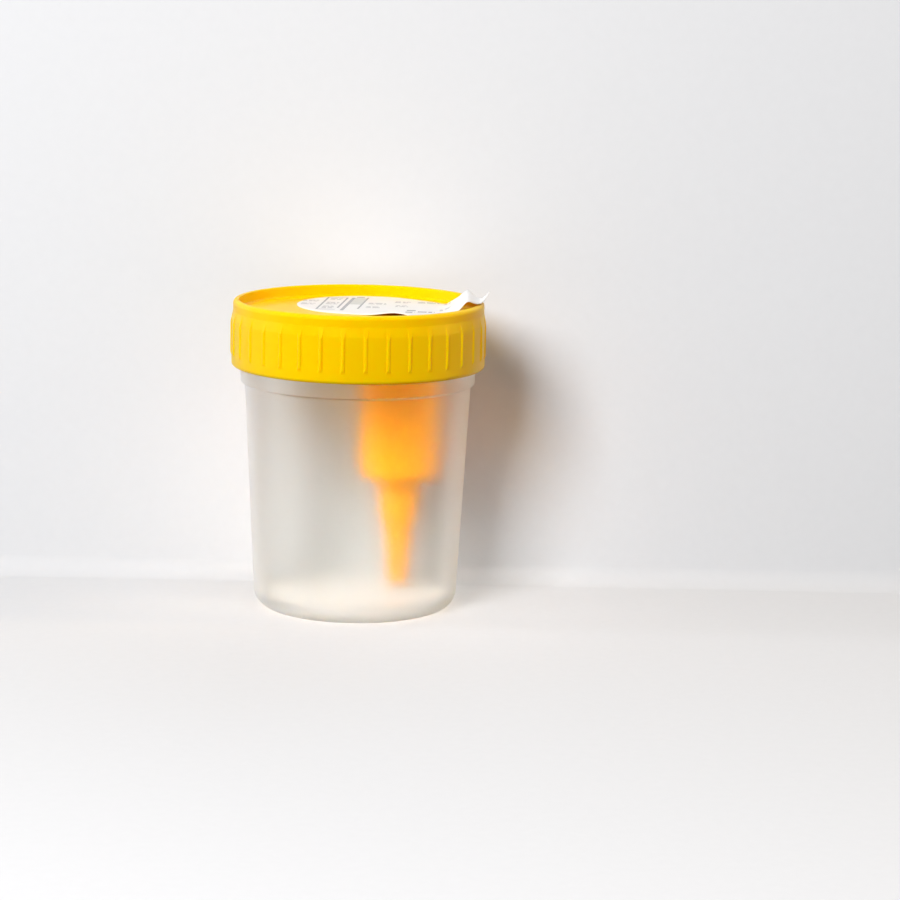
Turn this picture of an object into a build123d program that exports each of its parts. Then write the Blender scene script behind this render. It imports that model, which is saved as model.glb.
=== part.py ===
from build123d import *
import os
from math import radians, sin, tan

# Specimen container: a tapered cup with a screw lid that holds a well for a sample tube.
# Millimetres, +Z up. The origin is on the cup's axis, in the plane that its foot stands on.

# cup: a drafted wall from the base to the band under the lid, then a plain neck
cup_height = 74.3
cup_wall = 1.2
cup_floor = 1.2
foot_recess = 1.2
foot_width = 1.3
base_radius = 26.0
base_corner = 4.8
body_top_radius = 28.75
band_step = 1.05
band_height = 5.0
neck_step = 0.05
neck_height = 11.3
neck_wall = 1.1
mouth_lip = 0.5
edge_round = 0.4

# lid
mouth_gap = 0.3
deck_thickness = 1.3
recess_depth = 3.1
recess_corner = 0.8
rim_wall = 1.5
rim_inner_round = 0.35
rim_outer_round = 1.1
collar_step = 0.35
collar_height = 2.8
thread_space = 2.0
skirt_wall = 1.4
skirt_shoulder = 2.4
shoulder_bend = 4.0
skirt_corner = 0.9
lid_height = 16.9

# grip ridges: their crests stand proud of the skirt and run out towards both ends
ridge_count = 36
ridge_width = 1.1
ridge_height = 0.3
ridge_top_run = 3.0
ridge_foot_run = 0.8
ridge_foot_band = 2.7
ridge_phase = -85.0

# plug ring, which seals inside the cup's mouth
plug_clearance = 0.3
plug_wall = 1.0
plug_depth = 3.6
plug_taper = 0.25
plug_round = 0.3

# tube well
well_x = 10.8
well_y = 5.0
well_depth = 44.2
well_top_radius = 10.7
well_bottom_radius = 10.2
well_wall = 1.1
well_corner = 3.5
well_mouth_round = 0.5

# boss below the well's floor, which the probe is pushed over
boss_radius = 3.3
boss_length = 3.6
push_fit = 0.03

# dip probe
probe_socket_wall = 2.0
probe_socket_taper = 0.9
probe_socket_length = 10.7
probe_step = 0.8
probe_step_run = 0.5
probe_tip_radius = 2.1
probe_floor_gap = 1.7
probe_bore_top = 1.5
probe_bore_tip = 1.0
probe_round = 0.3
notch_width = 1.2
notch_depth = 1.5

# needle: hub, steel cannula and rubber sleeve
hub_flange_radius = 4.0
hub_flange_height = 1.6
hub_stem_radius = 1.8
hub_stem_end_gap = 0.6
nipple_radius = 1.6
nipple_height = 4.0
cannula_radius = 0.6
cannula_wall = 0.25
cannula_above_hub = 16.5
cannula_below_floor = 5.2
bevel_angle = 65
sleeve_root_wall = 1.3
sleeve_wall = 1.25
sleeve_bore = 0.95
sleeve_tip_gap = 1.0
sleeve_dome = 1.5
sleeve_dome_share = 0.9
sleeve_bore_share = 0.6

# seal label: a film with one round end and a blunt tab that is lifted over the rim, its point curled up
label_thickness = 0.2
label_end_radius = 17.2
label_end_x = 2.2
label_end_y = 12.3
label_wall_gap = 0.2
label_rim_gap = 0.25
label_ramp_run = 6.4
label_bend = 3.0
tab_far_inset = 11.9
tab_far_y = 11.3
tab_far_radius = 5.2
tab_near_inset = 7.3
tab_near_y = -8.6
tab_near_radius = 4.0
tab_point_radius = 2.5
tab_reach = 0.3
tab_curl_radius = 3.0
tab_curl_angle = 60.0

# heights that follow from the sizes above
cup_floor_z = foot_recess + cup_floor
band_top_z = cup_height - neck_height
band_bottom_z = band_top_z - band_height
deck_under_z = cup_height + mouth_gap
deck_top_z = deck_under_z + deck_thickness
rim_top_z = deck_top_z + recess_depth
lid_bottom_z = rim_top_z - lid_height
collar_foot_z = rim_top_z - collar_height
shoulder_foot_z = collar_foot_z - skirt_shoulder
ridge_foot_z = lid_bottom_z + ridge_foot_band
well_floor_z = deck_top_z - well_depth
well_floor_top_z = well_floor_z + well_wall
boss_end_z = well_floor_z - boss_length
hub_top_z = well_floor_top_z + hub_flange_height
nipple_top_z = hub_top_z + nipple_height
cannula_top_z = nipple_top_z + cannula_above_hub
probe_step_z = well_floor_z - probe_socket_length
probe_tip_z = cup_floor_z + probe_floor_gap

# radii that follow: the lid is built outwards from the neck
band_radius = body_top_radius + band_step
neck_radius = body_top_radius + neck_step
mouth_radius = neck_radius - neck_wall
plug_radius = mouth_radius - plug_clearance
bore_radius = neck_radius + thread_space
skirt_radius = bore_radius + skirt_wall
crest_radius = skirt_radius + ridge_height
collar_radius = skirt_radius - collar_step
recess_radius = collar_radius - rim_wall
well_place = Location((well_x, well_y, 0))


def turned(outline):
    """Solid of revolution about Z. Each point of the outline is radius, height and corner radius."""
    face = make_face(Polyline(*[(r, z) for r, z, corner in outline], close=True))
    for r, z, corner in outline:
        if corner > 0:
            face = fillet(face.vertices().sort_by_distance((r, z))[0], corner)
    return revolve(Plane.XZ * face, Axis.Z)


def make_cup():
    """Tapered cup with a foot ring, a shoulder band and a plain neck."""
    draft = (body_top_radius - base_radius) / (band_bottom_z - base_corner)
    base_edge = base_radius - draft * base_corner
    inner_base = base_edge - cup_wall + draft * cup_floor_z
    foot_inner = base_radius - base_corner - foot_width
    return turned([
        (0, foot_recess, 0),
        (foot_inner, foot_recess, edge_round),
        (foot_inner, 0, edge_round),
        (base_edge, 0, base_corner - edge_round),
        (body_top_radius, band_bottom_z, edge_round),
        (band_radius, band_bottom_z, edge_round),
        (band_radius, band_top_z, edge_round),
        (neck_radius, band_top_z, edge_round),
        (neck_radius, cup_height, mouth_lip),
        (mouth_radius, cup_height, mouth_lip),
        (body_top_radius - cup_wall, band_bottom_z, 0),
        (inner_base, cup_floor_z, base_corner - cup_wall),
        (0, cup_floor_z, 0),
    ])


def make_lid_shell():
    """Skirt, collar, recessed deck and plug ring, all turned about the cup's axis."""
    plug_z = deck_under_z - plug_depth
    return turned([
        (0, deck_top_z, 0),
        (recess_radius, deck_top_z, recess_corner),
        (recess_radius, rim_top_z, rim_inner_round),
        (collar_radius, rim_top_z, rim_outer_round),
        (collar_radius, collar_foot_z, 0),
        (skirt_radius, shoulder_foot_z, shoulder_bend),
        (skirt_radius, lid_bottom_z, skirt_corner),
        (bore_radius, lid_bottom_z, 0),
        (bore_radius, deck_under_z, recess_corner),
        (plug_radius, deck_under_z, 0),
        (plug_radius - plug_taper, plug_z, plug_round),
        (plug_radius - plug_wall, plug_z, plug_round),
        (plug_radius - plug_wall, deck_under_z, 0),
        (0, deck_under_z, 0),
    ])


def make_ridges():
    """Grip ridges: upright rods sunk in the skirt, cut back at both ends so that their crests run out."""
    rod_radius = ((ridge_width / 2) ** 2 + ridge_height**2) / (2 * ridge_height)
    height = collar_foot_z - ridge_foot_z
    rod = Pos(crest_radius - rod_radius, 0, (collar_foot_z + ridge_foot_z) / 2) * Cylinder(rod_radius, height)
    crests = turned([
        (0, collar_foot_z, 0),
        (collar_radius, collar_foot_z, 0),
        (crest_radius, collar_foot_z - ridge_top_run, shoulder_bend),
        (crest_radius, ridge_foot_z + ridge_foot_run, ridge_foot_run),
        (skirt_radius, ridge_foot_z, 0),
        (0, ridge_foot_z, 0),
    ])
    ridge = rod & crests
    pitch = 360 / ridge_count
    return [Rot(0, 0, ridge_phase + i * pitch) * ridge for i in range(ridge_count)]


def make_lid():
    """Screw lid with grip ridges, tube well and the boss that carries the probe."""
    well = turned([
        (0, deck_top_z - deck_thickness / 2, 0),
        (well_top_radius, deck_top_z - deck_thickness / 2, 0),
        (well_bottom_radius, well_floor_z, well_corner),
        (boss_radius, well_floor_z, 0),
        (boss_radius, boss_end_z, edge_round),
        (0, boss_end_z, 0),
    ])
    stem_hole = hub_stem_radius + push_fit
    cavity = turned([
        (0, deck_top_z, 0),
        (well_top_radius - well_wall, deck_top_z, 0),
        (well_bottom_radius - well_wall, well_floor_top_z, well_corner - well_wall),
        (stem_hole, well_floor_top_z, 0),
        (stem_hole, boss_end_z, 0),
        (0, boss_end_z, 0),
    ])
    lid = make_lid_shell() + make_ridges() + well_place * well - well_place * cavity
    rim_point = (well_x + well_top_radius - well_wall, well_y, deck_top_z)
    mouth_edge = lid.edges().sort_by(lambda edge: edge.distance_to(Vector(*rim_point)))[0]
    return fillet(mouth_edge, well_mouth_round)


def make_probe():
    """Stepped, tapering suction nozzle, pushed over the boss below the well."""
    socket = boss_radius + push_fit
    step_radius = socket + probe_socket_wall - probe_socket_taper
    body = turned([
        (socket, well_floor_z, 0),
        (socket + probe_socket_wall, well_floor_z, probe_round),
        (step_radius, probe_step_z, probe_round),
        (step_radius - probe_step, probe_step_z - probe_step_run, 0),
        (probe_tip_radius, probe_tip_z, probe_round),
        (probe_bore_tip, probe_tip_z, 0),
        (probe_bore_top, boss_end_z - push_fit, 0),
        (socket, boss_end_z - push_fit, 0),
    ])
    notch = Box(notch_width, 3 * probe_tip_radius, 2 * notch_depth)
    return well_place * (body - Pos(0, 0, probe_tip_z) * notch)


def make_hub():
    """Needle seat: a flange on the well's floor, a stem through the boss and a nipple for the sleeve."""
    bore = cannula_radius + push_fit
    stem_end_z = boss_end_z + hub_stem_end_gap
    return well_place * turned([
        (bore, stem_end_z, 0),
        (hub_stem_radius, stem_end_z, probe_round),
        (hub_stem_radius, well_floor_top_z, 0),
        (hub_flange_radius, well_floor_top_z, 0),
        (hub_flange_radius, hub_top_z, probe_round),
        (nipple_radius, hub_top_z, 0),
        (nipple_radius, nipple_top_z, probe_round),
        (bore, nipple_top_z, 0),
    ])


def make_cannula():
    """Steel tube, bevelled at the end that pierces the stopper."""
    bottom_z = well_floor_z - cannula_below_floor
    tube = turned([
        (cannula_radius - cannula_wall, bottom_z, 0),
        (cannula_radius, bottom_z, 0),
        (cannula_radius, cannula_top_z, 0),
        (cannula_radius - cannula_wall, cannula_top_z, 0),
    ])
    size = 8 * cannula_radius
    drop = cannula_radius * tan(radians(bevel_angle))
    bevel = Pos(0, 0, cannula_top_z - drop) * Rot(0, bevel_angle, 0) * Pos(0, 0, size / 2)
    return well_place * (tube - bevel * Box(size, size, size))


def make_sleeve():
    """Closed rubber sleeve over the needle, seated on the hub's nipple."""
    seat = nipple_radius + push_fit
    outer = sleeve_bore + sleeve_wall
    tip_z = cannula_top_z + sleeve_tip_gap
    shoulder_z = nipple_top_z + nipple_height / 2
    return well_place * turned([
        (seat, hub_top_z, 0),
        (seat + sleeve_root_wall, hub_top_z, probe_round),
        (outer, shoulder_z, 0),
        (outer, tip_z + sleeve_dome, outer * sleeve_dome_share),
        (0, tip_z + sleeve_dome, 0),
        (0, tip_z, 0),
        (sleeve_bore, tip_z, sleeve_bore * sleeve_bore_share),
        (sleeve_bore, nipple_top_z + push_fit, 0),
        (seat, nipple_top_z + push_fit, 0),
    ])


def make_label():
    """Sealing film: flat on the deck, ramped up over the rim on one side, with a curled tab end."""
    film_z = deck_top_z + label_thickness / 2
    over_z = rim_top_z + label_rim_gap + label_thickness / 2
    tip_x = crest_radius - tab_reach
    over_x = (recess_radius**2 - (tab_near_y - tab_near_radius) ** 2) ** 0.5
    curl_x = tip_x - tab_curl_radius * sin(radians(tab_curl_angle))
    side = FilletPolyline(
        (-tip_x, film_z),
        (over_x - label_ramp_run, film_z),
        (over_x, over_z),
        (curl_x, over_z),
        radius=label_bend,
    )
    curl = CenterArc((curl_x, over_z + tab_curl_radius), tab_curl_radius, -90, tab_curl_angle)
    film = extrude(Plane.XZ * trace(side + curl, label_thickness), 2 * skirt_radius, both=True)
    round_end = Pos(label_end_x, label_end_y) * Circle(label_end_radius)
    far_corner = Pos(crest_radius - tab_far_inset, tab_far_y) * Circle(tab_far_radius)
    near_corner = Pos(crest_radius - tab_near_inset, tab_near_y) * Circle(tab_near_radius)
    point = Pos(tip_x - tab_point_radius, 0) * Circle(tab_point_radius)
    tab = make_hull(far_corner.edges() + near_corner.edges() + point.edges())
    seat = Circle(recess_radius - recess_corner - label_wall_gap)
    plan = make_hull(round_end.edges() + tab.edges()) & seat
    return film & extrude(plan + tab, 2 * rim_top_z)


os.makedirs("parts", exist_ok=True)
export_step(make_cup(), "parts/cup.step")
export_step(make_lid(), "parts/lid.step")
export_step(make_probe(), "parts/dip_probe.step")
export_step(make_hub(), "parts/needle_hub.step")
export_step(make_cannula(), "parts/needle_cannula.step")
export_step(make_sleeve(), "parts/needle_sleeve.step")
export_step(make_label(), "parts/seal_label.step")
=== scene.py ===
import math
import random
import bpy
import bmesh
from mathutils import Matrix, Vector


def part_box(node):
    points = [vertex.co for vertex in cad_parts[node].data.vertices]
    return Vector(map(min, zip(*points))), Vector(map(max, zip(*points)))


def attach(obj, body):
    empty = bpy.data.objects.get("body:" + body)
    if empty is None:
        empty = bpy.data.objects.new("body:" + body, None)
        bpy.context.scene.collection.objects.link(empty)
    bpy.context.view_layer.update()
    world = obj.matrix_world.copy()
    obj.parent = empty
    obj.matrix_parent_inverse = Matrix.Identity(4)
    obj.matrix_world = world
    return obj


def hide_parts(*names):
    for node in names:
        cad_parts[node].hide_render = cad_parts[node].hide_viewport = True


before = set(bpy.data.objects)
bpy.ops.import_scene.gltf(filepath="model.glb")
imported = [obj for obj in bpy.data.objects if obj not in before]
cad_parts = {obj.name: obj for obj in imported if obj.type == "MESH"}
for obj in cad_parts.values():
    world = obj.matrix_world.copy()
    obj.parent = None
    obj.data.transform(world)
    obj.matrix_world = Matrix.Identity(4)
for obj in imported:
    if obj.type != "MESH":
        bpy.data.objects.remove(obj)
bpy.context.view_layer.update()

mm = 0.001
scene = bpy.context.scene
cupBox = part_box("cup")
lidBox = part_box("lid")
print("frame loaded")


def linear(hexText):
    # sRGB hex to the linear values that shaders use
    channels = [int(hexText[i:i + 2], 16) / 255 for i in (1, 3, 5)]
    return [c / 12.92 if c <= 0.04045 else ((c + 0.055) / 1.055) ** 2.4 for c in channels] + [1.0]


def addNode(tree, kind, settings=None, **links):
    # one node, its settings, and what goes into its sockets: a value, or another node's output
    node = tree.nodes.new(kind)
    for name, value in (settings or {}).items():
        setattr(node, name, value)
    for name, value in links.items():
        key = int(name[1:]) if name[0] == "_" and name[1:].isdigit() else name.replace("_", " ")
        socket = node.inputs[key]
        if isinstance(value, bpy.types.NodeSocket):
            tree.links.new(value, socket)
        else:
            socket.default_value = value
    return node


def addNoise(tree, place, size, detail):
    return addNode(tree, "ShaderNodeTexNoise", Vector=place, Scale=1 / size, Detail=detail)


def mixColours(tree, factor, first, second):
    mix = addNode(tree, "ShaderNodeMix", {"data_type": "RGBA"}, Factor=factor, _6=first, _7=second)
    return mix.outputs[2]


def mixShaders(tree, factor, first, second):
    mix = addNode(tree, "ShaderNodeMixShader", Fac=factor, _1=first, _2=second)
    return mix.outputs["Shader"]


def seenRay(tree, path):
    # 1 where a ray comes from the camera, off a gloss or through the plastic, and 0 for scattered light
    cameraOrGloss = addNode(
        tree, "ShaderNodeMath", _0=path.outputs["Is Camera Ray"], _1=path.outputs["Is Glossy Ray"])
    seen = addNode(
        tree, "ShaderNodeMath", {"use_clamp": True}, _0=cameraOrGloss.outputs[0],
        _1=path.outputs["Is Transmission Ray"])
    return seen.outputs[0]


def newMaterial(name):
    material = bpy.data.materials.new(name)
    material.use_nodes = True
    tree = material.node_tree
    tree.nodes.clear()
    output = tree.nodes.new("ShaderNodeOutputMaterial")
    return material, tree, output


def meshObject(name, mesh, material, smoothAngle=30):
    piece = bpy.data.objects.new(name, mesh)
    scene.collection.objects.link(piece)
    mesh.materials.append(material)
    for face in mesh.polygons:
        face.use_smooth = True
    mesh.set_sharp_from_angle(angle=math.radians(smoothAngle))
    return piece


def bakeModifiers(piece):
    # the evaluated result as a plain mesh, with no modifier left
    graph = bpy.context.evaluated_depsgraph_get()
    mesh = bpy.data.meshes.new_from_object(piece.evaluated_get(graph))
    piece.modifiers.clear()
    piece.data = mesh
    return piece


# a grain is its size across, the bump's strength and its depth
plasticLook = {
    "cupColour": "#F3F3F1",
    "cupRoughness": 0.29,
    "cupIor": 1.4,
    "cupShine": "#808080",
    "cupClear": 0.995,      # share of light passed where the wall is seen square on
    "cupMilky": 0.2,        # and where it is seen edge on, through more of the milky resin
    "cupEdge": (0.42, 0.92),        # where the wall starts to look milky, and where it is fully so
    "cupGlow": (2.5 * mm, 2.3 * mm, 2.0 * mm),
    "cupGrain": (0.9 * mm, 0.25, 0.02 * mm),
    "cupLetsIn": "#F4F4F2",
    "cupPasses": "#939597",
    "oneWall": 1.5,         # more than two faces crossed: the light is past the first wall
    "lidColour": "#FFCC00",
    "lidShine": "#FFC840",
    "lidGlow": (1.8 * mm, 0.7 * mm, 0.1 * mm),
    "lidGrain": (0.35 * mm, 0.2, 0.01 * mm),
    "lidSheenPatch": 9 * mm,
    "lidRoughness": (0.34, 0.42),
    "lidPasses": "#CCB040",
    # painted shade: the well is of the lid's yellow moulding; this deeper orange stands for the shade it sits
    # in inside the cup
    "wellShadeColour": "#FFA100",
    "wellShadeFrom": 62 * mm,    # painted shade: the lid's yellow turns to a deeper orange from this height down to the next one, for the well in shade inside the cup
    "wellShadeTo": 57 * mm,
    # a deeper orange than the lid: partly the probe's own colour, partly painted shade from its place inside
    # the cup
    "probeColourAndShade": "#FFA400",
}

needleLook = {
    "acetal": "#EFEFEA",
    "acetalGrain": (0.3 * mm, 0.15, 0.01 * mm),
    "steel": "#C9CACC",
    "drawWidth": 0.06 * mm,
    "drawLength": 25 * mm,
    "steelRoughness": (0.16, 0.32),
    "rubber": "#A09F98",
    "rubberDust": "#B2B1AA",
    "rubberGrain": (0.25 * mm, 0.3, 0.02 * mm),
    "dustPatch": 1.5 * mm,
}

labelLook = {
    "film": "#F4F4F5",
    "filmGrain": (1.6 * mm, 0.25, 0.03 * mm),
    "filmGlow": (0.5 * mm, 0.5 * mm, 0.5 * mm),
    "worn": "#C8C8CC",
    "wornPatch": 0.8 * mm,
}


def grainBump(tree, grain):
    size, strength, depth = grain
    place = addNode(tree, "ShaderNodeTexCoord")
    noise = addNoise(tree, place.outputs["Object"], size, 3.0)
    bump = addNode(tree, "ShaderNodeBump", Height=noise.outputs["Fac"], Strength=strength, Distance=depth)
    return bump.outputs["Normal"]


def makeFrostedPolypropylene():
    # moulded natural polypropylene: clear resin gone milky, so it passes light and blurs what is behind
    look = plasticLook
    material, tree, output = newMaterial("frostedPolypropylene")
    bump = grainBump(tree, look["cupGrain"])
    edge = addNode(tree, "ShaderNodeLayerWeight", Blend=0.5)
    clear = addNode(
        tree, "ShaderNodeMapRange", {"interpolation_type": "SMOOTHSTEP"}, Value=edge.outputs["Facing"],
        From_Min=look["cupEdge"][0], From_Max=look["cupEdge"][1],
        To_Min=look["cupClear"], To_Max=look["cupMilky"])
    plastic = addNode(
        tree, "ShaderNodeBsdfPrincipled", Base_Color=linear(look["cupColour"]), IOR=look["cupIor"],
        Roughness=look["cupRoughness"], Specular_Tint=linear(look["cupShine"]),
        Transmission_Weight=clear.outputs["Result"], Subsurface_Weight=1.0,
        Subsurface_Radius=look["cupGlow"], Subsurface_Scale=1.0, Normal=bump)
    # lamps shine through the wall: the first one takes little, so the inside is bright, and the next ones
    # take more, so the cup still throws a shadow
    path = addNode(tree, "ShaderNodeLightPath")
    beyond = addNode(
        tree, "ShaderNodeMath", {"operation": "GREATER_THAN"}, _0=path.outputs["Transparent Depth"],
        _1=look["oneWall"])
    tint = mixColours(tree, beyond.outputs[0], linear(look["cupLetsIn"]), linear(look["cupPasses"]))
    passing = addNode(tree, "ShaderNodeBsdfTransparent", Color=tint)
    whole = mixShaders(tree, path.outputs["Is Shadow Ray"], plastic.outputs["BSDF"], passing.outputs["BSDF"])
    tree.links.new(whole, output.inputs["Surface"])
    return material


def makeSatinPlastic(name, colour, paintedShadeColour=None):
    # moulded polyethylene or polypropylene: satin, slightly waxy, and light bleeds a little into it
    look = plasticLook
    material, tree, output = newMaterial(name)
    bump = grainBump(tree, look["lidGrain"])
    place = addNode(tree, "ShaderNodeTexCoord")
    drift = addNoise(tree, place.outputs["Object"], look["lidSheenPatch"], 2.0)
    sheen = addNode(
        tree, "ShaderNodeMapRange", Value=drift.outputs["Fac"], From_Min=0.3, From_Max=0.7,
        To_Min=look["lidRoughness"][0], To_Max=look["lidRoughness"][1])
    tone = linear(colour)
    # painted shade: where a lower colour is given, the colour turns to it below a set height, standing for
    # the shade there
    if paintedShadeColour:
        height = addNode(tree, "ShaderNodeSeparateXYZ", Vector=place.outputs["Object"])
        below = addNode(
            tree, "ShaderNodeMapRange", Value=height.outputs["Z"], From_Min=look["wellShadeFrom"],
            From_Max=look["wellShadeTo"])
        tone = mixColours(tree, below.outputs["Result"], tone, linear(paintedShadeColour))
    plastic = addNode(
        tree, "ShaderNodeBsdfPrincipled", Base_Color=tone, Roughness=sheen.outputs["Result"], IOR=1.5,
        Specular_IOR_Level=0.25, Specular_Tint=linear(look["lidShine"]), Subsurface_Weight=0.8,
        Subsurface_Radius=look["lidGlow"], Subsurface_Scale=1.0, Normal=bump)
    # the thin wall lets some lamp light through, tinted
    passing = addNode(tree, "ShaderNodeBsdfTransparent", Color=linear(look["lidPasses"]))
    path = addNode(tree, "ShaderNodeLightPath")
    whole = mixShaders(tree, path.outputs["Is Shadow Ray"], plastic.outputs["BSDF"], passing.outputs["BSDF"])
    tree.links.new(whole, output.inputs["Surface"])
    return material


def makeAcetal():
    # white moulded acetal, with a soft gloss
    look = needleLook
    material, tree, output = newMaterial("whiteAcetal")
    bump = grainBump(tree, look["acetalGrain"])
    plastic = addNode(
        tree, "ShaderNodeBsdfPrincipled", Base_Color=linear(look["acetal"]), Roughness=0.32, IOR=1.48,
        Normal=bump)
    tree.links.new(plastic.outputs["BSDF"], output.inputs["Surface"])
    return material


def makeDrawnStainless():
    # drawn stainless tube: bright, with fine marks along its length
    look = needleLook
    material, tree, output = newMaterial("drawnStainless")
    place = addNode(tree, "ShaderNodeTexCoord")
    across = 1 / look["drawWidth"]
    stretch = (across, across, 1 / look["drawLength"])
    drawn = addNode(tree, "ShaderNodeMapping", Vector=place.outputs["Object"], Scale=stretch)
    marks = addNode(tree, "ShaderNodeTexNoise", Vector=drawn.outputs["Vector"], Scale=1.0, Detail=2.0)
    rough = addNode(
        tree, "ShaderNodeMapRange", Value=marks.outputs["Fac"], To_Min=look["steelRoughness"][0],
        To_Max=look["steelRoughness"][1])
    metal = addNode(
        tree, "ShaderNodeBsdfPrincipled", Base_Color=linear(look["steel"]), Metallic=1.0,
        Roughness=rough.outputs["Result"])
    tree.links.new(metal.outputs["BSDF"], output.inputs["Surface"])
    return material


def makeRubber():
    # soft dipped rubber, matt and a little dusty
    look = needleLook
    material, tree, output = newMaterial("greyNaturalRubber")
    bump = grainBump(tree, look["rubberGrain"])
    place = addNode(tree, "ShaderNodeTexCoord")
    dust = addNoise(tree, place.outputs["Object"], look["dustPatch"], 3.0)
    tone = mixColours(tree, dust.outputs["Fac"], linear(look["rubber"]), linear(look["rubberDust"]))
    rubber = addNode(
        tree, "ShaderNodeBsdfPrincipled", Base_Color=tone, Roughness=0.62, IOR=1.52, Normal=bump)
    tree.links.new(rubber.outputs["BSDF"], output.inputs["Surface"])
    return material


def makeLabelFilm():
    # white polypropylene label film: even white face, faint unevenness, satin
    look = labelLook
    material, tree, output = newMaterial("labelFilm")
    bump = grainBump(tree, look["filmGrain"])
    film = addNode(
        tree, "ShaderNodeBsdfPrincipled", Base_Color=linear(look["film"]), Roughness=0.4, IOR=1.49,
        Subsurface_Weight=0.1, Subsurface_Radius=look["filmGlow"], Subsurface_Scale=1.0,
        Normal=bump)
    tree.links.new(film.outputs["BSDF"], output.inputs["Surface"])
    return material


def makeInk(name, colour):
    # matt printing ink, thin enough that its cover varies
    look = labelLook
    material, tree, output = newMaterial(name)
    place = addNode(tree, "ShaderNodeTexCoord")
    cover = addNoise(tree, place.outputs["Object"], look["wornPatch"], 2.0)
    tone = mixColours(tree, cover.outputs["Fac"], linear(colour), linear(look["worn"]))
    ink = addNode(tree, "ShaderNodeBsdfPrincipled", Base_Color=tone, Roughness=0.55, IOR=1.45)
    tree.links.new(ink.outputs["BSDF"], output.inputs["Surface"])
    return material


frostedPolypropylene = makeFrostedPolypropylene()
lidPlastic = makeSatinPlastic("satinPolyethylene", plasticLook["lidColour"], plasticLook["wellShadeColour"])
probePlastic = makeSatinPlastic("satinPolypropylene", plasticLook["probeColourAndShade"])
nodeFinish = {
    "cup": frostedPolypropylene,
    "lid": lidPlastic,
    "dip_probe": probePlastic,
    "needle_hub": makeAcetal(),
    "needle_cannula": makeDrawnStainless(),
    "needle_sleeve": makeRubber(),
}
for nodeName, finish in nodeFinish.items():
    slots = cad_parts[nodeName].data.materials
    slots.clear()
    slots.append(finish)
print("materials made")


# plan sizes are from the cup's axis; a corner is its centre and its radius
label = {
    "thickness": 0.2 * mm,
    "endRadius": 17.5 * mm,
    "end": Vector((1.2, 11.9)) * mm,
    "farCorner": (Vector((20.6, 11.3)) * mm, 5.2 * mm),
    "nearCorner": (Vector((25.2, -8.6)) * mm, 4.0 * mm),
    "pointRadius": 1.2 * mm,
    "recessDepth": 3.1 * mm,
    "seatRadius": 29.35 * mm,
    "rampRun": 6.4 * mm,
    "rampEnd": 27.6 * mm,
    "rampBend": 1.3 * mm,
    "rimGap": 0.25 * mm,
    "crest": 1.4 * mm,      # the fold over the rim
    "crestX": 27.4 * mm,
    "crestRun": 1.7 * mm,
    "curlX": 30.5 * mm,     # the point of the tab curls up from here
    "curlRise": 2.4 * mm,
    "overhang": 0.8 * mm,
    "liftX": 9.4 * mm,      # the near edge stands off the deck here
    "liftRun": 4.6 * mm,
    "lift": 0.95 * mm,
    "liftDepth": 4.0 * mm,
    "edgeSlope": 0.3,
    "creaseX": 26.4 * mm,   # a soft dent where the film climbs to the rim
    "creaseRun": 1.2 * mm,
    "creaseSlant": 0.25,
    "creaseFade": 6.0 * mm,
    "crease": -0.45 * mm,
    "middle": Vector((14.0, 4.0)) * mm,     # a point well inside the outline
    "reach": 45 * mm,
    "halvings": 16,
    "directions": 180,
    "outlinePoints": 220,
    "gridStep": 0.6 * mm,
    "gridCells": (-30, 60),
    "curlCuts": 12,
    "smoothAngle": 60,
}
rimTop = lidBox[1][2]
deckTop = rimTop - label["recessDepth"]
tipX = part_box("seal_label")[1][0] + label["overhang"]


def reachOf(discs, direction):
    # how far a group of discs reaches in a direction
    return max(centre.dot(direction) + radius for centre, radius in discs)


def labelOutline():
    # walk round the label from a point inside it, and find the edge on each ray
    roundEnd = (label["end"], label["endRadius"])
    point = (Vector((tipX - label["pointRadius"], 0)), label["pointRadius"])
    tab = [label["farCorner"], label["nearCorner"], point]
    turns = [math.tau * i / label["directions"] for i in range(label["directions"])]
    directions = [Vector((math.cos(a), math.sin(a))) for a in turns]
    wholeReach = [(n, reachOf(tab + [roundEnd], n)) for n in directions]
    tabReach = [(n, reachOf(tab, n)) for n in directions]

    def inside(p):
        inTab = all(p.dot(n) <= far for n, far in tabReach)
        return inTab or (p.length < label["seatRadius"] and all(p.dot(n) <= far for n, far in wholeReach))

    points = []
    for i in range(label["outlinePoints"]):
        angle = math.tau * i / label["outlinePoints"]
        ray = Vector((math.cos(angle), math.sin(angle)))
        near, far = 0.0, label["reach"]
        for step in range(label["halvings"]):
            halfway = (near + far) / 2
            if inside(label["middle"] + ray * halfway):
                near = halfway
            else:
                far = halfway
        points.append(label["middle"] + ray * near)
    return points


def softHinge(x, width):
    # 0 before the hinge, x after it, with a round bend between
    if x <= -width:
        return 0.0
    if x >= width:
        return x
    return (x + width) ** 2 / (4 * width)


def hump(distance, run):
    return math.exp(-(distance / run) ** 2)


def filmHeight(x, y):
    # middle of the film above the floor: flat on the deck, up a ramp, over the rim, then the curled point
    rise = label["recessDepth"] + label["rimGap"]
    slope = rise / label["rampRun"]
    start = label["rampEnd"] - label["rampRun"]
    bend = label["rampBend"]
    z = deckTop + label["thickness"] / 2
    z += slope * (softHinge(x - start, bend) - softHinge(x - label["rampEnd"], bend))
    z += label["crest"] * hump(x - label["crestX"], label["crestRun"])
    farSide = min(1.0, max(0.0, y / label["creaseFade"]))
    z += label["crease"] * hump(x - label["creaseX"] + label["creaseSlant"] * y, label["creaseRun"]) * farSide
    curl = max(0.0, (x - label["curlX"]) / (tipX - label["curlX"]))
    z += label["curlRise"] * curl ** 2
    nearEdge = label["end"].y - label["endRadius"] - label["edgeSlope"] * max(0.0, x - label["end"].x)
    lift = hump(x - label["liftX"], label["liftRun"]) * hump(max(y - nearEdge, 0.0), label["liftDepth"])
    return z + label["lift"] * lift


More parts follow.
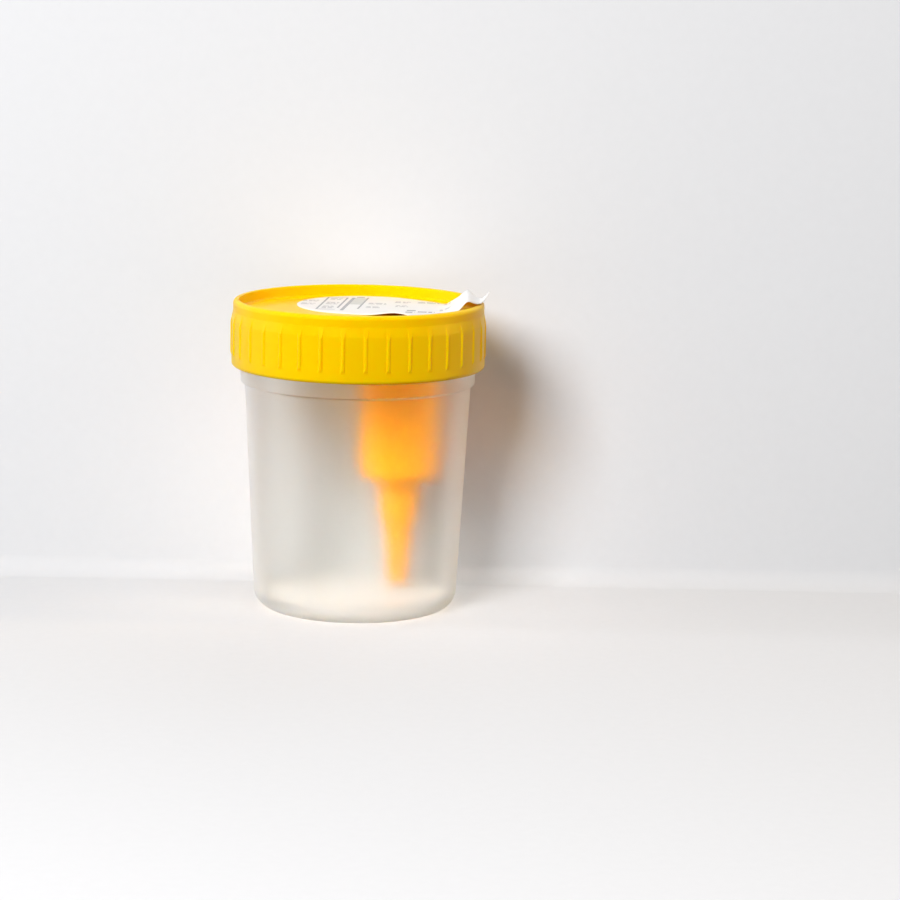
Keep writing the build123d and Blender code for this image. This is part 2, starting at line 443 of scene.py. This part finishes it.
def makeLabel(film):
    # the outline cut into a fine grid, raised to the film's height, then given its thickness
    net = bmesh.new()
    net.faces.new([net.verts.new((p.x, p.y, 0)) for p in labelOutline()])
    step = label["gridStep"]
    across, along = Vector((1, 0, 0)), Vector((0, 1, 0))
    cuts = [(axis, k * step) for axis in (across, along) for k in range(*label["gridCells"])]
    cuts += [(across, label["curlX"] + k * step / 4) for k in range(label["curlCuts"])]
    for axis, place in cuts:
        everything = net.verts[:] + net.edges[:] + net.faces[:]
        bmesh.ops.bisect_plane(net, geom=everything, plane_co=axis * place, plane_no=axis)
    for corner in net.verts:
        corner.co.z = filmHeight(corner.co.x, corner.co.y)
    bmesh.ops.remove_doubles(net, verts=net.verts, dist=0.001 * mm)
    bmesh.ops.recalc_face_normals(net, faces=net.faces)
    mesh = bpy.data.meshes.new("sealLabel")
    net.to_mesh(mesh)
    net.free()
    piece = meshObject("sealLabel", mesh, film, label["smoothAngle"])
    wall = piece.modifiers.new("filmThickness", "SOLIDIFY")
    wall.thickness = label["thickness"]
    wall.offset = 0
    return bakeModifiers(piece)


sealLabel = makeLabel(makeLabelFilm())
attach(sealLabel, "lid_body")
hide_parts("seal_label")
print("label made")


# rows, lines and blocks of print, in mm across and up from the middle of the label's round end
printed = {
    "seed": 7,
    "turn": math.radians(-5.6),
    "rise": 0.02 * mm,
    "rowHeight": 0.75 * mm,
    "rowPitch": 1.6 * mm,
    "boldHeight": 1.5 * mm,
    "boldPitch": 3.2 * mm,
    "longestDash": 2.3 * mm,
    "shortestDash": 0.6 * mm,
    "gap": 0.45 * mm,
    "slackRight": 0.25,     # how much of a row may be left empty at its end
    "step": 0.8 * mm,
    "greyInk": "#8E929C",
    "darkInk": "#4E5260",
    "paleInk": "#E4E7E0",
    "brownInk": "#8A7250",
}
# start, end, lowest, highest, for a paragraph of small rows
paragraphs = [
    (-16.8, -12.4, 4.2, 6.2), (-16.4, -12.8, -2.4, 0.2), (-10.2, -6.9, 7.6, 10.6), (-10.2, -7.0, -0.6, 3.2),
    (-10.2, -7.2, -7.6, -4.4), (0.6, 5.6, 2.0, 4.0), (0.8, 4.6, -5.6, -3.0), (7.0, 11.2, 5.6, 8.2),
    (12.9, 19.2, 6.4, 8.6), (20.0, 22.2, 4.6, 6.2), (8.0, 12.0, -2.2, 0.6), (20.0, 22.8, -7.6, -5.6),
]
boldParagraphs = [(11.8, 14.2, -12.4, -7.6), (14.8, 19.4, -12.6, -9.6)]
lines = [
    (-11.4, -10.9, -10.7, 12.5), (-6.4, -5.9, -7.4, 12.6), (-11.4, -5.9, 12.2, 12.8),
    (-11.4, -6.4, -10.9, -10.4), (-5.0, -4.1, -12.0, 13.1), (-1.1, -0.6, -8.2, 14.0),
]
paleBlocks = [(-4.1, -1.1, 0.0, 13.0)]
darkBlocks = [(-3.9, -1.8, 13.4, 14.6)]


def onFilm(s, t, rise):
    # a point of the print, from its place on the label
    p = label["end"] + Matrix.Rotation(printed["turn"], 2) @ Vector((s, t))
    return Vector((p.x, p.y, filmHeight(p.x, p.y) + label["thickness"] / 2 + rise))


def addPatch(net, s0, s1, t0, t1, rise):
    # a thin printed patch that follows the film
    columns = max(1, round((s1 - s0) / printed["step"]))
    rows = max(1, round((t1 - t0) / printed["step"]))
    grid = []
    for i in range(columns + 1):
        s = s0 + (s1 - s0) * i / columns
        grid.append([net.verts.new(onFilm(s, t0 + (t1 - t0) * j / rows, rise)) for j in range(rows + 1)])
    for i in range(columns):
        for j in range(rows):
            net.faces.new((grid[i][j], grid[i + 1][j], grid[i + 1][j + 1], grid[i][j + 1]))


def addParagraph(net, dice, place, height, pitch):
    # rows of dashes of uneven length, as small type looks from afar
    start, end, low, high = [value * mm for value in place]
    t = high
    while t - height >= low - printed["rowPitch"] / 2:
        s = start
        stop = end - dice.random() * printed["slackRight"] * (end - start)
        while s < stop:
            word = min(dice.uniform(printed["shortestDash"], printed["longestDash"]), stop - s)
            addPatch(net, s, s + word, t - height, t, printed["rise"])
            s += word + printed["gap"]
        t -= pitch


def printPiece(name, draw, inkName):
    net = bmesh.new()
    draw(net)
    mesh = bpy.data.meshes.new(name)
    net.to_mesh(mesh)
    net.free()
    piece = meshObject(name, mesh, makeInk(inkName, printed[inkName]))
    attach(piece, "lid_body")


def addBlocks(net, blocks, rise):
    for block in blocks:
        addPatch(net, *[value * mm for value in block], rise)


def drawText(net):
    dice = random.Random(printed["seed"])
    for place in paragraphs:
        addParagraph(net, dice, place, printed["rowHeight"], printed["rowPitch"])
    addBlocks(net, lines, printed["rise"])


def drawBold(net):
    dice = random.Random(printed["seed"] + 1)
    for place in boldParagraphs:
        addParagraph(net, dice, place, printed["boldHeight"], printed["boldPitch"])


def drawPanel(net):
    addBlocks(net, paleBlocks, printed["rise"] / 2)


def drawMark(net):
    addBlocks(net, darkBlocks, printed["rise"])


printPiece("labelText", drawText, "greyInk")
printPiece("labelBold", drawBold, "darkInk")
printPiece("labelPanel", drawPanel, "paleInk")
printPiece("labelMark", drawMark, "brownInk")
print("label printed")


thread = {
    "pitch": 5.0 * mm,
    "turns": 1.35,
    "ridge": 0.95 * mm,
    "foot": 2.2 * mm,
    "crest": 1.0 * mm,
    "neckRadius": 28.8 * mm,
    "boreRadius": 30.8 * mm,
    "neckStart": 66.0 * mm,
    "sink": 0.05 * mm,
    "segments": 96,
    "fadeShare": 0.06,      # share of the length over which each end runs out
    "fadeTo": 0.04,
    "startAngle": math.radians(150),
}


def makeThreadTree(finish):
    # a spiral, fading at both ends, swept with a ridge's section; it draws nothing at random, so no seed
    tree = bpy.data.node_groups.new("threadRidge", "GeometryNodeTree")
    face = tree.interface
    face.new_socket("Geometry", in_out="OUTPUT", socket_type="NodeSocketGeometry")
    for name in ("Radius", "Turns", "Rise", "Height", "Foot", "Crest"):
        face.new_socket(name, in_out="INPUT", socket_type="NodeSocketFloat")
    source = addNode(tree, "NodeGroupInput")
    spiral = addNode(
        tree, "GeometryNodeCurveSpiral", Resolution=thread["segments"], Rotations=source.outputs["Turns"],
        Start_Radius=source.outputs["Radius"], End_Radius=source.outputs["Radius"],
        Height=source.outputs["Rise"])
    along = addNode(tree, "GeometryNodeSplineParameter")
    back = addNode(tree, "ShaderNodeMath", {"operation": "SUBTRACT"}, _0=1.0, _1=along.outputs["Factor"])
    nearEnd = addNode(
        tree, "ShaderNodeMath", {"operation": "MINIMUM"}, _0=along.outputs["Factor"], _1=back.outputs[0])
    fade = addNode(
        tree, "ShaderNodeMapRange", {"interpolation_type": "SMOOTHSTEP"}, Value=nearEnd.outputs[0],
        From_Max=thread["fadeShare"], To_Min=thread["fadeTo"], To_Max=1.0)
    sized = addNode(
        tree, "GeometryNodeSetCurveRadius", Curve=spiral.outputs["Curve"], Radius=fade.outputs["Result"])
    upright = addNode(
        tree, "GeometryNodeSetCurveNormal", {"mode": "Z_UP"}, Curve=sized.outputs["Curve"])
    section = addNode(
        tree, "GeometryNodeCurvePrimitiveQuadrilateral", {"mode": "TRAPEZOID"}, Offset=0.0,
        Height=source.outputs["Height"], Bottom_Width=source.outputs["Foot"],
        Top_Width=source.outputs["Crest"])
    swept = addNode(
        tree, "GeometryNodeCurveToMesh", Curve=upright.outputs["Curve"],
        Profile_Curve=section.outputs["Curve"], Fill_Caps=True)
    whole = addNode(tree, "GeometryNodeRealizeInstances", Geometry=swept.outputs["Mesh"])
    painted = addNode(tree, "GeometryNodeSetMaterial", Geometry=whole.outputs["Geometry"], Material=finish)
    sink = addNode(tree, "NodeGroupOutput")
    tree.links.new(painted.outputs["Geometry"], sink.inputs[0])
    return tree


def makeThread(name, body, finish, radius, startZ):
    tree = makeThreadTree(finish)
    piece = bpy.data.objects.new(name, bpy.data.meshes.new(name))
    scene.collection.objects.link(piece)
    nodes = piece.modifiers.new("thread", "NODES")
    nodes.node_group = tree
    values = {
        "Radius": radius, "Turns": thread["turns"], "Rise": thread["pitch"] * thread["turns"],
        "Height": thread["ridge"] + thread["sink"], "Foot": thread["foot"], "Crest": thread["crest"],
    }
    for socket in tree.interface.items_tree:
        if socket.name in values:
            nodes[socket.identifier] = values[socket.name]
    bakeModifiers(piece)
    piece.data.transform(Matrix.Translation((0, 0, startZ)) @ Matrix.Rotation(thread["startAngle"], 4, "Z"))
    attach(piece, body)


# the lid's ridge runs half a pitch below the neck's, so the two never touch
half = (thread["ridge"] - thread["sink"]) / 2
makeThread("neckThread", "cup_body", frostedPolypropylene, thread["neckRadius"] + half,
           thread["neckStart"])
makeThread("lidThread", "lid_body", lidPlastic, thread["boreRadius"] - half,
           thread["neckStart"] - thread["pitch"] / 2)
print("threads made")


stage = {
    "white": "#ECEDF0",
    "whiteFibre": "#EFF0F3",
    "bounce": "#707070",
    "floorLight": 1.14,     # how much more lamp light the floor gets than the backdrop
    "evening": -0.55,
    "floorHalf": 2.0,
    "coveStart": 23.0 * mm,
    "coveRadius": 6.0 * mm,
    "lean": 0.1,
    "wallTop": 1.4,
    "coveTurn": math.radians(84),
    "coveSteps": 10,
    "clear": 0.02 * mm,     # keeps the backdrop's foot off the floor
    "fibre": 2.5 * mm,
}


def makeStageWhite(oneSided):
    # matt white card; the backdrop's is one-sided, so it isn't there from behind and it stops no lamp
    material, tree, output = newMaterial("whiteCard")
    place = addNode(tree, "ShaderNodeTexCoord")
    fibre = addNoise(tree, place.outputs["Object"], stage["fibre"], 2.0)
    tone = mixColours(tree, fibre.outputs["Fac"], linear(stage["white"]), linear(stage["whiteFibre"]))
    # the bend faces the lamps more squarely than the wall or the floor, so its card is a little darker
    facing = addNode(tree, "ShaderNodeNewGeometry")
    part = addNode(tree, "ShaderNodeSeparateXYZ", Vector=facing.outputs["Normal"])
    across = addNode(tree, "ShaderNodeMath", {"operation": "ABSOLUTE"}, _0=part.outputs["Y"])
    upward = addNode(tree, "ShaderNodeMath", {"operation": "ABSOLUTE"}, _0=part.outputs["Z"])
    both = addNode(
        tree, "ShaderNodeMath", {"operation": "MULTIPLY_ADD"}, _0=upward.outputs[0], _1=stage["floorLight"],
        _2=across.outputs[0])
    even = addNode(tree, "ShaderNodeMath", {"operation": "POWER"}, _0=both.outputs[0], _1=stage["evening"])
    # white where it is seen, and darker to scattered light, so that it doesn't flood the object's shadow
    path = addNode(tree, "ShaderNodeLightPath")
    paint = mixColours(tree, seenRay(tree, path), linear(stage["bounce"]), tone)
    level = addNode(
        tree, "ShaderNodeVectorMath", {"operation": "SCALE"}, _0=paint, Scale=even.outputs[0])
    card = addNode(
        tree, "ShaderNodeBsdfPrincipled", Base_Color=level.outputs[0], Roughness=0.9, Specular_IOR_Level=0.0)
    surface = card.outputs["BSDF"]
    if oneSided:
        gone = addNode(tree, "ShaderNodeBsdfTransparent")
        away = addNode(
            tree, "ShaderNodeMath", {"operation": "MAXIMUM"}, _0=facing.outputs["Backfacing"],
            _1=path.outputs["Is Shadow Ray"])
        surface = mixShaders(tree, away.outputs[0], surface, gone.outputs["BSDF"])
    tree.links.new(surface, output.inputs["Surface"])
    return material


def sheetObject(name, rows, material):
    # a sheet through rows of two points each
    net = bmesh.new()
    grid = [[net.verts.new(point) for point in row] for row in rows]
    for a, b in zip(grid, grid[1:]):
        net.faces.new((a[0], a[1], b[1], b[0]))
    mesh = bpy.data.meshes.new(name)
    net.to_mesh(mesh)
    net.free()
    return meshObject(name, mesh, material)


def makeStage():
    wide = stage["floorHalf"]
    sides = (-wide, wide)
    floor = sheetObject("floor", [[(x, y, 0) for x in sides] for y in sides], makeStageWhite(False))
    r = stage["coveRadius"]
    profile = []
    for i in range(stage["coveSteps"] + 1):
        a = stage["coveTurn"] * i / stage["coveSteps"]
        profile.append((stage["coveStart"] + r * math.sin(a), r - r * math.cos(a) + stage["clear"]))
    y, z = profile[-1]
    profile.append((y + stage["lean"] * (stage["wallTop"] - z), stage["wallTop"]))
    rows = [[(x, y, z) for x in sides] for y, z in profile]
    backdrop = sheetObject("backdrop", rows, makeStageWhite(True))


light = {
    "worldStrength": 0.07,
    "worldSeen": "#F7F7F5",
    "white": "#FFFFFF",
    "warm": "#FFE3B8",
    "distance": 1.3,
}
# colour, power in watts, width and height in metres, degrees round from the front and up from the floor
softboxes = {
    "keyBox": ("white", 17.0, 0.5, 0.5, -25, 31),
    "topBox": ("white", 4.5, 0.8, 0.8, 0, 86),
    "fillBox": ("warm", 5.5, 0.14, 0.6, 88, 14),
    "sideBox": ("white", 3.8, 0.14, 0.6, -88, 14),
    "rearBox": ("white", 3.5, 0.8, 0.8, 165, 30),
}


def addSoftbox(name, colour, power, width, height, azimuth, elevation):
    # a flat lamp that faces the middle of the object
    lamp = bpy.data.lights.new(name, "AREA")
    lamp.shape = "RECTANGLE"
    lamp.size = width
    lamp.size_y = height
    lamp.energy = power
    lamp.color = linear(light[colour])[:3]
    box = bpy.data.objects.new(name, lamp)
    scene.collection.objects.link(box)
    a, e = math.radians(azimuth), math.radians(elevation)
    towards = Vector((math.sin(a) * math.cos(e), -math.cos(a) * math.cos(e), math.sin(e)))
    middle = Vector((0, 0, (cupBox[0][2] + lidBox[1][2]) / 2))
    turn = towards.to_track_quat("Z", "Y").to_matrix().to_4x4()
    box.matrix_world = Matrix.Translation(middle + towards * light["distance"]) @ turn


def makeLight():
    world = bpy.data.worlds.new("studioWhite")
    scene.world = world
    world.use_nodes = True
    tree = world.node_tree
    tree.nodes.clear()
    soft = addNode(
        tree, "ShaderNodeBackground", Color=linear(light["white"]), Strength=light["worldStrength"])
    seen = addNode(tree, "ShaderNodeBackground", Color=linear(light["worldSeen"]), Strength=1.0)
    path = addNode(tree, "ShaderNodeLightPath")
    whole = mixShaders(tree, seenRay(tree, path), soft.outputs["Background"], seen.outputs["Background"])
    addNode(tree, "ShaderNodeOutputWorld", Surface=whole)
    for name, box in softboxes.items():
        addSoftbox(name, *box)


# the distance is in metres, the angles in degrees and the sensor in millimetres
shot = {
    "distance": 0.80,
    "elevation": 10.21,
    "roll": 1.12,
    "aimX": 23.8 * mm,
    "aimZ": 40.7 * mm,
    "pixelsPerMm": 3.91,
    "frameWidth": 900,
    "sensorWidth": 36.0,
    "clipStart": 0.01,
}


def makeCamera():
    camera = bpy.data.cameras.new("camera")
    camera.sensor_width = shot["sensorWidth"]
    camera.lens = shot["pixelsPerMm"] / mm * shot["distance"] / shot["frameWidth"] * camera.sensor_width
    camera.clip_start = shot["clipStart"]
    e = math.radians(shot["elevation"])
    roll = math.radians(shot["roll"])
    forward = Vector((0, math.cos(e), -math.sin(e)))
    right = Vector((1, 0, 0))
    up = right.cross(forward)
    turnedRight = right * math.cos(roll) + up * math.sin(roll)
    turnedUp = up * math.cos(roll) - right * math.sin(roll)
    place = Vector((shot["aimX"], 0, shot["aimZ"])) - forward * shot["distance"]
    eye = bpy.data.objects.new("camera", camera)
    axes = Matrix((turnedRight, turnedUp, -forward)).transposed().to_4x4()
    eye.matrix_world = Matrix.Translation(place) @ axes
    scene.collection.objects.link(eye)
    scene.camera = eye


makeStage()
makeLight()
makeCamera()
scene.view_settings.view_transform = "Standard"
print("stage, light and camera made")
